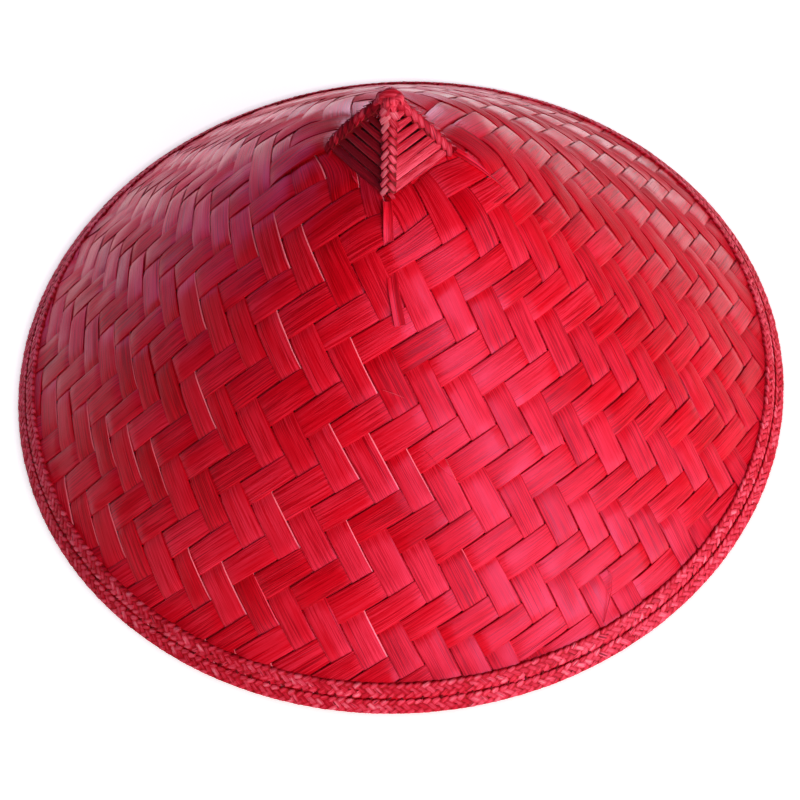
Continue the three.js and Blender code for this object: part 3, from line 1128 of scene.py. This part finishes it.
peak = {
    "rungCount": 7,
    "rungThickness": 0.7,
    "rungCamber": 0.18,
    "rungSink": 0.6,          # under the straight face between two ridges
    "rungShortest": 1.5,
    "rungWidths": (0.92, 1.08),
    "rungBows": (0.4, 1.3),
    "rungWander": (-0.25, 0.25),
    "rungLean": (0.05, 0.3),
    "slotWide": 2.7,          # at the top of a panel; the slots close towards its foot
    "slotNarrow": 0.25,
    "slotFoot": 0.12,         # of the top slots' width, at the foot
    "slotClosing": 1.3,
    "panelFoot": 0.3,
    "panelInset": 2.0,
    "bow": 0.5,
    "panelTop": 166.0,
    "plaitTop": 167.6,
    "plaitFoot": 145.4,
    "plaitPitch": 3.75,
    "leafAngle": 42.0,
    "leafSide": 2.0,          # from the ridge to the middle of a leaf
    "leafLift": 0.8,
    "leafTip": 13.0,
    "liftStray": (-0.08, 0.1),
    "angleStray": (-8, 8),
    "tipStray": (-4, 5),
    "flatRidge": 0.3,         # to each side of the ridge the plait doesn't hang yet
    "past": 0.7,              # the last leaf may pass the plait's end by this share of the pitch
    "leafLong": (0.9, 1.08),
    "leafWide": (0.84, 1.02),
    "topLeaf": 1.5,           # the front plait begins with wider strips
    "lastLeaf": 0.8,
    "narrowed": (0.78, 1.0, 1.0, 0.9),
    "bulge": (0.6, 2.4, 1.5, 2.6),        # how far each ridge bows outwards
    "bulgeShape": 0.6,
    "bulgeScale": 2.88,       # makes the most of a ridge's bow one
    "roof": (0.4, 0.68, 0.68, 0.68),      # how steeply each plait's sides hang down on the panels
    "roll": (4, 16, 16, 16),              # and how much further its leaves turn down, in degrees
    "paintedSheen": (0.5, 0.0, 0.0, 0.0),         # painted sheen on the leaves of one side, the left of the front plait
    "coreHalf": 3.1,
    "coreDepth": 1.3,
    "corePast": 1.5,          # how much longer than the plait
    "coreEase": 0.4,
    # tones of the rungs from each corner to the next and of its plait; the left ones are painted darker, a
    # painted shade on the side turned away from the light
    "rungTonesAndShade": ((0.4, 1.1), (0.3, 1.0), (0.1, 0.8), (-0.5, 0.0)),
    "plaitTonesAndShade": ((0.4, 1.3), (0.2, 1.0), (0.2, 1.0), (-0.4, 0.6)),
}
cornerNames = ("front", "right", "back", "left")
panelNames = ("front_right", "back_right", "back_left", "front_left")


def cornerPoint(azimuth, radius):
    angle = math.radians(azimuth)
    x = tip[0] + radius * math.sin(angle)
    y = tip[1] - radius * math.cos(angle)
    return np.array([x, y, crown["peakBase"]])


cornerPoints = [cornerPoint(azimuth, radius) for azimuth, radius in crown["corners"]]


def ridgeAxes(index):
    down = unit(cornerPoints[index] - tip)
    level = unit(np.array([-down[1], down[0], 0.0]))
    return down, level, np.cross(down, level)


def ridgeBulge(index, along):
    # how far a ridge stands out from a straight line, most in its upper half
    share = np.clip(along / np.linalg.norm(cornerPoints[index] - tip), 0.0, 1.0)
    return peak["bulge"][index] * share ** peak["bulgeShape"] * (1 - share) * peak["bulgeScale"]


def peakRungs(first):
    # the panel between a corner and the next one round
    second = (first + 1) % len(cornerPoints)
    wideAtStart = first % 2 == 1
    start, end = cornerPoints[first], cornerPoints[second]
    xAxis = unit(end - start)
    toTip = tip - start
    tipAlong = toTip @ xAxis
    yAxis = toTip - xAxis * tipAlong
    faceHeight = np.linalg.norm(yAxis)
    yAxis = unit(yAxis)
    out = np.cross(xAxis, yAxis)
    footLength = np.linalg.norm(end - start)
    startLean = tipAlong / faceHeight
    endLean = (footLength - tipAlong) / faceHeight
    low = peak["panelFoot"]
    high = faceHeight * (peak["panelTop"] - crown["peakBase"]) / (tip[2] - crown["peakBase"])
    pitch = (high - low) / peak["rungCount"]
    rng = np.random.default_rng(seed + 20 + first)
    stack = MeshStack()
    share = np.linspace(0, 1, 9)
    firstOut, secondOut = ridgeAxes(first)[2], ridgeAxes(second)[2]
    firstLength = np.linalg.norm(start - tip)
    secondLength = np.linalg.norm(end - tip)
    for k in range(peak["rungCount"]):
        middle = low + (k + 0.5) * pitch
        left = startLean * middle + peak["panelInset"]
        right = footLength - endLean * middle - peak["panelInset"]
        if right - left < peak["rungShortest"]:
            continue
        fromTip = 1 - middle / faceHeight
        closing = lerp(peak["slotFoot"], 1.0, (k / (peak["rungCount"] - 1)) ** peak["slotClosing"])
        wideSlot, narrowSlot = peak["slotWide"] * closing, peak["slotNarrow"]
        slots = (wideSlot, narrowSlot) if wideAtStart else (narrowSlot, wideSlot)
        half = (pitch - lerp(slots[0], slots[1], share)) / 2 * rng.uniform(*peak["rungWidths"])
        bow = peak["bow"] * np.sin(np.pi * share) * rng.uniform(*peak["rungBows"])
        wander = rng.uniform(*peak["rungWander"]) * np.sin(np.pi * share)
        path = (start + xAxis * lerp(left, right, share)[:, None]
                + yAxis * (middle + wander)[:, None] + out * (bow - peak["rungSink"])[:, None])
        # the ends follow the ridges as they bow outwards
        path = path + np.outer(1 - share, firstOut * ridgeBulge(first, fromTip * firstLength))
        path = path + np.outer(share, secondOut * ridgeBulge(second, fromTip * secondLength))
        lean = rng.uniform(*peak["rungLean"])
        side = np.tile(unit(-yAxis + out * lean), (len(share), 1))
        outRow = np.tile(unit(out + yAxis * lean), (len(share), 1))
        # the rungs' tone range paints shade on the panels turned away from the light
        stack.addRibbon(path, side, outRow, half, peak["rungThickness"], peak["rungCamber"],
                        first * 11 + k, rng.uniform(*peak["rungTonesAndShade"][first]))
    name = panelNames[first]
    stack.finish(f"rungs_{name}", 50, "peak_plait", peakBamboo, f"peak_panel_{name}")


def ridgePlait(index):
    # a narrow fishbone plait: leaves fold out and down to each side like the hairs of a feather
    down, level, out = ridgeAxes(index)
    start = (tip[2] - peak["plaitTop"]) / -down[2]
    end = (tip[2] - peak["plaitFoot"]) / -down[2]
    name = cornerNames[index]

    def bend(x, y, z):
        # the plait sits astride the ridge, so its sides hang down on the faces
        z = z - peak["roof"][index] * np.maximum(np.abs(y) - peak["flatRidge"], 0.0) + ridgeBulge(index, x)
        return tip + np.outer(x, down) + np.outer(y, level) + np.outer(z, out)

    stack = LeafStack(peakLeaf)
    rng = np.random.default_rng(seed + 40 + index)
    count = round((end - start) / peak["plaitPitch"])
    pitch = (end - start) / count
    for k in range(count + 1):
        for side in (-1, 1):
            x = start + (k + (0.5 if side > 0 else 0.0)) * pitch
            if x > end + peak["past"] * pitch:
                continue
            place = (x, side * peak["leafSide"] * peak["narrowed"][index],
                     peak["leafLift"] + rng.uniform(*peak["liftStray"]))
            angle = math.radians(side * (peak["leafAngle"] + rng.uniform(*peak["angleStray"])))
            size = np.array([rng.uniform(*peak["leafLong"]) * peak["narrowed"][index],
                             rng.uniform(*peak["leafWide"])])
            if index == 0:
                size = size * lerp(peak["topLeaf"], 1.0, easeInOut(k / 3))
            if x > end:
                size = size * peak["lastLeaf"]
            # the plait's tone range paints shade on the left plait, and one side of the front plait gets a
            # painted sheen
            tone = rng.uniform(*peak["plaitTonesAndShade"][index]) + (peak["paintedSheen"][index] if side < 0 else 0.0)
            tipped = math.radians(peak["leafTip"] + rng.uniform(*peak["tipStray"]))
            roll = math.radians(-side * peak["roll"][index])
            stack.addLeaf(place, angle, size, tipped, roll, tone, index * 60 + k * 2 + side, bend)
    stack.finish(f"fishbone_{name}", 50, "peak_plait", peakBamboo, f"ridge_plait_{name}")

    # its core: a bar folded down over the ridge, with eased edges
    clearSelection()
    bpy.ops.mesh.primitive_cube_add(size=1)
    core = bpy.context.object
    editMesh(core, (bpy.ops.mesh.subdivide, {"number_cuts": 7}))
    core.scale = ((end - start + peak["corePast"]) * mm, 2 * peak["coreHalf"] * mm, peak["coreDepth"] * mm)
    bakePlace(core)
    middle = (start + end) / 2
    for vertex in core.data.vertices:
        vertex.co.z += float(ridgeBulge(index, vertex.co.x / mm + middle)) * mm
        vertex.co.z -= peak["roof"][index] * abs(vertex.co.y)
    centre = tip + down * middle - out * (peak["coreDepth"] / 2)
    core.matrix_world = placeByAxes(centre, down, level, out)
    bakePlace(core)
    ease = core.modifiers.new("ease", "BEVEL")
    ease.width = peak["coreEase"] * mm
    ease.segments = 2
    pick(core)
    bpy.ops.object.modifier_apply(modifier=ease.name)
    smoothPiece(core, 40)
    finishPiece(core, f"plait_core_{name}", "peak_plait", plaitCoreShaded, f"ridge_plait_{name}")


for corner in range(len(cornerNames)):
    peakRungs(corner)
for corner in range(len(cornerNames)):
    ridgePlait(corner)

knot = {
    "radius": 4.3,
    "floor": 166.4,
    "top": 171.2,
    "flatFoot": -0.15,        # where the ball is pressed flat, in radii from its middle
    "coreShare": 0.94,        # of the radius and the height, under the bands
    "bandReach": (0.96, 0.9),             # of the radius and the height, where the bands lie
    "bandWidth": 2.5,
    "bandThickness": 0.45,
    "bandTurn": 1.5,
    # number, azimuth, offsets, lift and tone of the strips over the knob
    "bands": ((200, 40, (-2.2, 0.2), 0.15, 0.5), (205, -48, (-0.2, 2.2), 0.35, 0.7)),
    "camber": 0.15,
    "tabThickness": 0.42,
    "tabEnds": (7.5, 8.0, 8.0, 8.0),      # how far each pair of strips runs down its ridge
    "tabOffset": 1.25,
    "tabShorter": 0.8,        # one strip of a pair is shorter by this, the other longer
    "tabLift": 0.6,
    "tabHump": 2.0,
    "tabSink": 0.5,
    "tabStart": 0.2,
    "tabHumpPlace": (1.6, 0.1),           # slope and start of the hump's wave along the strip
    "tabEnd": (6.0, 0.45),                # how fast its end narrows, and the width it ends with
    "tabRoof": 0.7,
    "tabTone": 0.75,
}


def peakKnob():
    # the closed knob under the bands: a squat ball pressed flat below
    clearSelection()
    bpy.ops.mesh.primitive_uv_sphere_add(segments=24, ring_count=14, radius=1)
    knob = bpy.context.object
    for vertex in knob.data.vertices:
        vertex.co.z = max(vertex.co.z, knot["flatFoot"])
    editMesh(
        knob,
        (bpy.ops.mesh.remove_doubles, {"threshold": 0.001}),
        (bpy.ops.mesh.normals_make_consistent, {"inside": False}),
    )
    height = (knot["top"] - knot["floor"]) / (1 - knot["flatFoot"])
    knob.scale = [size * mm * knot["coreShare"] for size in (knot["radius"], knot["radius"], height)]
    knob.location = [place * mm for place in (tip[0], tip[1], knot["floor"] - knot["flatFoot"] * height)]
    bakePlace(knob)
    smoothPiece(knob, 60)
    finishPiece(knob, "knob_core", "peak_plait", plaitCoreShaded, "peak_knot")


def knobBand(stack, azimuth, offset, lift, number, tone):
    # a strip that hugs the knob from one side to the other, towards an azimuth
    angle = math.radians(azimuth)
    forward = np.array([math.sin(angle), -math.cos(angle), 0.0])
    sideways = np.array([math.cos(angle), math.sin(angle), 0.0])
    turn = np.linspace(-knot["bandTurn"], knot["bandTurn"], 17)
    outShare, upShare = knot["bandReach"]
    radius = knot["radius"] * outShare + lift
    height = (knot["top"] - knot["floor"]) * upShare + lift
    base = np.array([tip[0], tip[1], knot["floor"]])
    path = (base + forward * (radius * np.sin(turn))[:, None] + sideways * offset
            + np.outer(height * np.cos(turn), (0, 0, 1)))
    along = unit(np.gradient(path, axis=0))
    side = np.tile(sideways, (len(turn), 1))
    out = unit(np.cross(along, side))
    if out[len(turn) // 2][2] < 0:
        out = -out
    # its cut edges are painted darker, a painted shade in the gaps
    stack.addRibbon(path, side, out, knot["bandWidth"] / 2, knot["bandThickness"], knot["camber"],
                    number, tone + edgeShadeTone)


def ridgeTab(stack, index, side):
    # a strip that comes over the knob and lies down along one side of a ridge
    down, level, out = ridgeAxes(index)
    offset = side * knot["tabOffset"]
    share = np.linspace(0, 1, 15)
    along = lerp(knot["tabStart"], knot["tabEnds"][index] - knot["tabShorter"] * side, share)
    humpSlope, humpStart = knot["tabHumpPlace"]
    hump = knot["tabHump"] * np.sin(np.pi * np.clip(share * humpSlope + humpStart, 0, 1))
    rise = knot["tabLift"] + hump - knot["tabSink"] * share + ridgeBulge(index, along)
    path = tip + np.outer(along, down) + np.outer(rise, out) + level * offset
    forward = unit(np.gradient(path, axis=0))
    lean = unit(level - out * (peak["roof"][index] * knot["tabRoof"] * np.sign(offset)))
    sideways = np.tile(lean, (len(share), 1))
    outward = unit(np.cross(forward, sideways))
    if outward[len(share) // 2] @ out < 0:
        outward = -outward
    narrowing, endWidth = knot["tabEnd"]
    half = knot["bandWidth"] / 2 * np.clip(narrowing * (1 - share) + endWidth, 0.0, 1.0)
    # its cut edges are painted darker, a painted shade in the gaps
    stack.addRibbon(path, sideways, outward, half, knot["tabThickness"], knot["camber"],
                    210 + index * 2 + side, knot["tabTone"] + edgeShadeTone)


def knobBands():
    stack = MeshStack()
    for first, azimuth, offsets, lift, tone in knot["bands"]:
        for number, offset in enumerate(offsets):
            knobBand(stack, azimuth, offset, lift, first + number, tone)
    for index in range(len(cornerNames)):
        for side in (-1, 1):
            ridgeTab(stack, index, side)
    stack.finish("knob_bands", 50, "peak_plait", peakBamboo, "peak_knot")


peakKnob()
knobBands()

# the strip folded over the tip, an arch from left to right
tipArch = {
    "turn": 1.3,
    "reach": 4.9,
    "forward": (0.8, 0.5),    # before the tip at the ends, and how much more on top
    "top": 1.5,
    "drop": 4.4,
    "facing": (-0.75, 0.9),   # it faces forwards and up
    "halfWidth": (1.6, 2.7),  # at the ends and on top
    "thickness": 0.55,
    "camber": 0.3,
    "tone": 0.5,
}


def tipStrip():
    turn = np.linspace(-tipArch["turn"], tipArch["turn"], 19)
    least, more = tipArch["forward"]
    path = tip + np.stack([
        tipArch["reach"] * np.sin(turn),
        -least - more * np.cos(turn),
        tipArch["top"] - tipArch["drop"] * (1 - np.cos(turn)),
    ], axis=-1)
    along = unit(np.gradient(path, axis=0))
    forwards, upwards = tipArch["facing"]
    out = unit(np.stack([np.sin(turn), np.full(len(turn), forwards), upwards * np.cos(turn)], axis=-1))
    side = unit(np.cross(along, out))
    half = lerp(*tipArch["halfWidth"], np.cos(turn) ** 2)
    stack = MeshStack()
    # its cut edges are painted darker, a painted shade in the gaps
    stack.addRibbon(path, side, np.cross(side, along), half, tipArch["thickness"], tipArch["camber"],
                    230, tipArch["tone"] + edgeShadeTone)
    stack.finish("tip_strip", 50, "peak_plait", peakBamboo, "tip_fold")


tipStrip()
print("peak plaited")

# Loose ends: splints that come out of the plaits and lie on the crown

crownStrip = {"rows": 22, "camber": 0.1, "soften": (0.25, 0.5, 0.25)}


def crownRibbon(stack, places, halfWidths, lifts, thickness, number, tone, roll=0.0, profile=splintProfile):
    # places: radius and azimuth of the points it passes
    share = np.linspace(0, 1, crownStrip["rows"])

    def spread(values):
        return np.interp(share, np.linspace(0, 1, len(values)), values)

    radius, azimuth = (spread(values) for values in zip(*places))
    half = spread(halfWidths)
    lift = np.convolve(np.pad(spread(lifts), 1, mode="edge"), crownStrip["soften"], mode="valid")
    path = onCrown(radius, azimuth, lift)
    out = crownNormal(radius, azimuth)
    along = unit(np.gradient(path, axis=0))
    side = unit(np.cross(along, out))
    rolledSide = side * math.cos(roll) + out * math.sin(roll)
    rolledOut = out * math.cos(roll) - side * math.sin(roll)
    stack.addRibbon(path, rolledSide, rolledOut, half, thickness, crownStrip["camber"],
                    number, tone, profile)


def layFrontTail():
    # folded along its length like a shallow gutter; it dips where it goes under a splint
    profile = np.array([
        (-1.0, 0.9), (-0.95, 2.5), (-0.86, 2.7), (-0.45, 1.5), (0.0, 0.1), (0.08, 0.1), (0.55, 1.1),
        (0.92, 2.0), (1.0, 0.9), (0.6, 0.1), (0.04, -1.1), (-0.45, 0.2),
    ])
    (startRadius, startAzimuth), (endRadius, endAzimuth) = frontTail["from"], frontTail["to"]
    places = []
    lifts = []
    for share in np.linspace(0, 1, 23):
        place = (lerp(startRadius, endRadius, share), lerp(startAzimuth, endAzimuth, share))
        offMiddle = abs(float(matCell(*place)[0]) - 0.5)
        dip = float(easeInOut((frontTail["dipHalf"] - offMiddle) / frontTail["dipEase"]))
        places.append(place)
        lifts.append(frontTail["lift"] - frontTail["dip"] * dip)
    stack = MeshStack()
    # the left half of the gutter is painted paler, a painted sheen, and the right half darker, a painted
    # shade
    crownRibbon(stack, places, frontTail["halfWidths"], lifts, frontTail["thickness"], 300,
                np.where(profile[:, 0] < 0, -0.3, 0.5), profile=profile)
    stack.finish("tail_front", 30, "woven_splints", dyedBamboo, "tail_splint_front")


def layStrips(strips, thickness, number):
    stack = MeshStack()
    for k, (places, halfWidths, lifts, tone, roll) in enumerate(strips):
        crownRibbon(stack, places, halfWidths, lifts, thickness, number + k, tone, roll)
    return stack


# each strip: the places it passes, its half widths and lifts on the way, its tone and its roll
rightTail = (
    (((29, 76), (36, 74), (43, 72.5), (51, 71.5)), (1.0, 1.7, 1.0, 0.1), (1.3, 1.1, 0.5, -0.3), 0.0, 0.35),
    (((29, 79), (34, 76), (39, 74.2), (44, 73)), (0.7, 1.0, 0.7, 0.1), (1.6, 1.6, 1.1, 0.5), 0.5, -0.5),
)
# slivers that stick out beside the peak, and stray fibres that lie on the mat
looseEnds = (
    (((28, -91), (29.5, -88), (31, -85)), (0.5, 0.6, 0.1), (0.5, 0.5, 0.3), 0.4, 0.0),
    (((30, -49), (30.4, -43), (31, -37)), (0.2, 0.45, 0.1), (1.0, 0.9, 0.4), 1.4, 0.0),
    (((48.9, 59.6), (52.7, 71.4)), (0.1, 0.35, 0.1), (0.5, 0.9, 0.5), 0.9, 0.0),
    (((66.6, 72.6), (70.5, 72.6), (74.3, 73.6)), (0.1, 0.7, 0.1), (0.5, 1.3, 0.5), 0.1, 0.0),
    (((169.7, 30.0), (174.0, 29.9), (177.9, 28.9), (186.4, 26.0)), (0.1, 0.16, 0.16, 0.08),
     (0.5, 1.3, 1.2, 0.9), 0.8, 0.0),
    (((91.9, -4.5), (93.2, -1.5), (94.8, 1.0)), (0.06, 0.12, 0.06), (0.4, 0.7, 0.5), 1.4, 0.0),
    (((112.0, 4.4), (118.0, 7.0), (124.6, 10.3)), (0.06, 0.12, 0.06), (0.3, 0.7, 0.5), 1.4, 0.0),
)
layFrontTail()
layStrips(rightTail, 0.4, 310).finish("tail_right", 40, "woven_splints", dyedBamboo, "tail_splint_right")
layStrips(looseEnds, 0.25, 320).finish("short_ends", 40, "woven_splints", dyedBamboo)
print("loose ends laid")

# Studio: pale floor, two soft lights from the front right, weaker ones behind

studio = {
    "floorSize": 6.0,
    "paper": ("#F4F4F4", "#FAFAFA"),
    "floorGlow": 0.8,
    "glowFrom": 0.192,        # metres from the middle; under the hat the paper stays dark
    "glowTo": 0.205,
    "farGlow": 0.3,           # the far floor is dimmer, so the sides don't mirror it
    "farFrom": 0.42,
    "farTo": 0.8,
    "lights": {
        "key_low_light": {"azimuth": 48, "elevation": 8, "size": 1.2, "power": 32, "colour": "key"},
        "key_high_light": {"azimuth": 28, "elevation": 30, "size": 1.2, "power": 32, "colour": "key"},
        "back_light": {"azimuth": 178, "elevation": 8, "size": 1.1, "power": 25, "colour": "back"},
        "back_left_light": {"azimuth": -134, "elevation": 9, "size": 1.5, "power": 12.5, "colour": "side"},
        "back_right_light": {"azimuth": 142, "elevation": 14, "size": 1.2, "power": 1.8, "colour": "side"},
    },
    "lightDistance": 2.2,
    "aimHeight": 0.06,
    # the light from behind is cooler, as daylight
    "colours": {"key": (1.0, 1.0, 1.0), "back": (0.96, 0.82, 1.0), "side": (1.0, 0.38, 1.0)},
    "sky": 0.015,
}


def paleFloor():
    clearSelection()
    bpy.ops.mesh.primitive_plane_add(size=studio["floorSize"])
    floor = bpy.context.object
    floor.name = "floor"
    stuff, tree = newMaterial("white_paper_sweep")
    # matt paper: a faint mottle, and a glow that keeps its tone even
    place = addNode(tree, "ShaderNodeTexCoord").outputs["Object"]
    grain = addNode(tree, "ShaderNodeTexNoise", {"Vector": place, "Scale": 30.0})
    fromMiddle = addNode(tree, "ShaderNodeVectorMath", {0: place}, operation="LENGTH")
    glow = addNode(tree, "ShaderNodeMapRange", {
        "Value": fromMiddle.outputs["Value"],
        "From Min": studio["glowFrom"],
        "From Max": studio["glowTo"],
        "To Max": studio["floorGlow"],
    })
    fade = addNode(tree, "ShaderNodeMapRange", {
        "Value": fromMiddle.outputs["Value"],
        "From Min": studio["farFrom"],
        "From Max": studio["farTo"],
        "To Min": 1.0,
        "To Max": studio["farGlow"],
    })
    glowing = addNode(tree, "ShaderNodeMath", {0: glow.outputs["Result"], 1: fade.outputs["Result"]},
                      operation="MULTIPLY")
    tint = addNode(tree, "ShaderNodeValToRGB", {"Fac": grain.outputs["Fac"]})
    setStops(tint, [(0.0, studio["paper"][0]), (1.0, studio["paper"][1])])
    surface = addNode(tree, "ShaderNodeBsdfPrincipled", {
        "Base Color": tint.outputs["Color"],
        "Roughness": 0.9,
        "Emission Color": (1.0, 1.0, 1.0, 1.0),
        "Emission Strength": glowing.outputs[0],
    })
    addNode(tree, "ShaderNodeOutputMaterial", {"Surface": surface.outputs["BSDF"]})
    floor.data.materials.append(stuff)
    floor.location.z = -0.0004
    bakePlace(floor)


def softLight(name, lamp):
    azimuth, elevation = math.radians(lamp["azimuth"]), math.radians(lamp["elevation"])
    level = math.cos(elevation)
    direction = Vector((math.sin(azimuth) * level, -math.cos(azimuth) * level, math.sin(elevation)))
    place = direction * studio["lightDistance"] + Vector((0, 0, studio["aimHeight"]))
    clearSelection()
    bpy.ops.object.light_add(type="AREA", location=place)
    light = bpy.context.object
    light.name = name
    light.rotation_euler = direction.to_track_quat("Z", "Y").to_euler()
    light.data.size = lamp["size"]
    light.data.energy = lamp["power"]
    light.data.color = studio["colours"][lamp["colour"]]


paleFloor()
for lightName, lamp in studio["lights"].items():
    softLight(lightName, lamp)
world = bpy.data.worlds.new("studio")
world.use_nodes = True
world.node_tree.nodes["Background"].inputs["Color"].default_value = (1.0, 1.0, 1.0, 1.0)
world.node_tree.nodes["Background"].inputs["Strength"].default_value = studio["sky"]
bpy.context.scene.world = world
bpy.context.scene.view_settings.view_transform = "Standard"
print("studio lit")

clearSelection()
